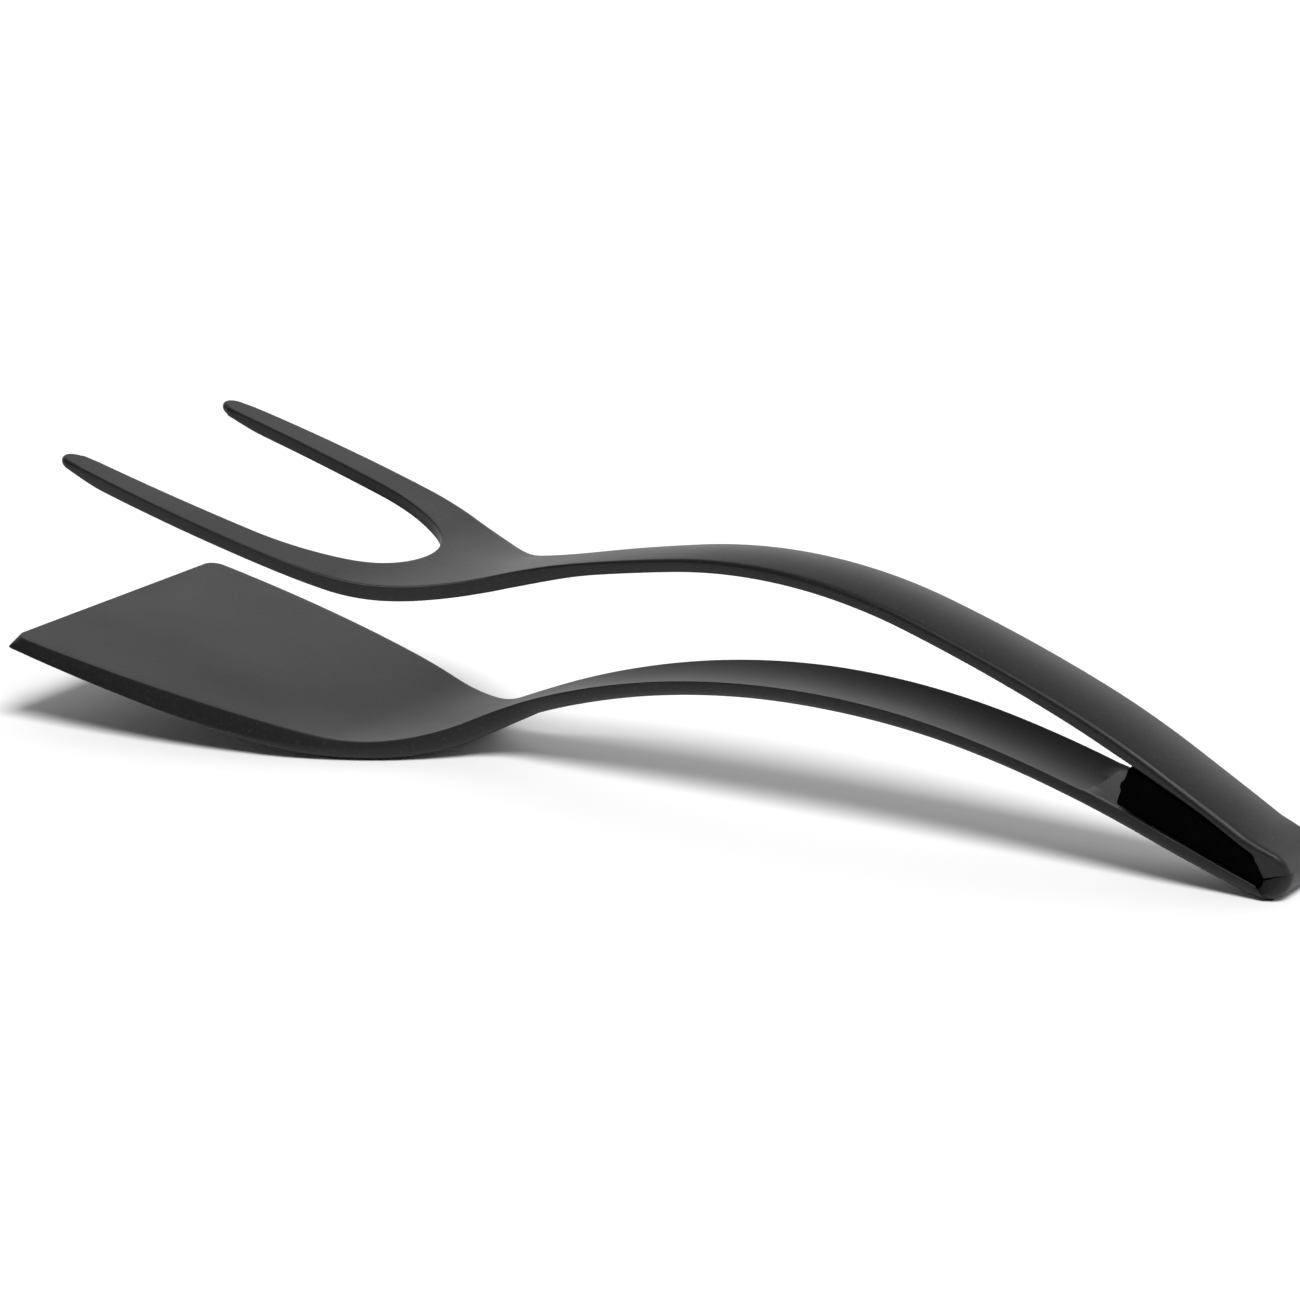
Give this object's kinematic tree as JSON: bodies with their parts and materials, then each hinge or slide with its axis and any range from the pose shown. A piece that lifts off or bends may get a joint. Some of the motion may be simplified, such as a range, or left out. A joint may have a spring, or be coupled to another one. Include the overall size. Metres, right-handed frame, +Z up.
{
  "type": "turner tong",
  "caption": "Kitchen turner tong: a flat spatula blade and a two-tine fork on two arched arms, hinged at the tail and sprung open by a rubber block.",
  "frame": {"origin": "under the middle of the tool, on the surface that it lies on", "axes": "+X from the blade to the tail, +Y to the left when looking along +X, +Z up"},
  "size_m": [0.301, 0.08, 0.0623],
  "materials": {
    "nylon": "moulded black nylon with a fine matte grain",
    "spring_rubber": "dead-matte black rubber"
  },
  "bodies": {
    "spatula": {"spatula_arm": "nylon", "tail_spring": "spring_rubber"},
    "fork": {"fork_arm": "nylon"}
  },
  "joints": [
    {"name": "squeeze", "type": "hinge", "parent": "spatula", "child": "fork", "pos_m": [0.1474, 0, 0.0054], "axis": [0, -1, 0], "range_deg": [0, 7.7], "stiffness_Nm_per_rad": 6, "deforming": ["tail_spring"]}
  ]
}
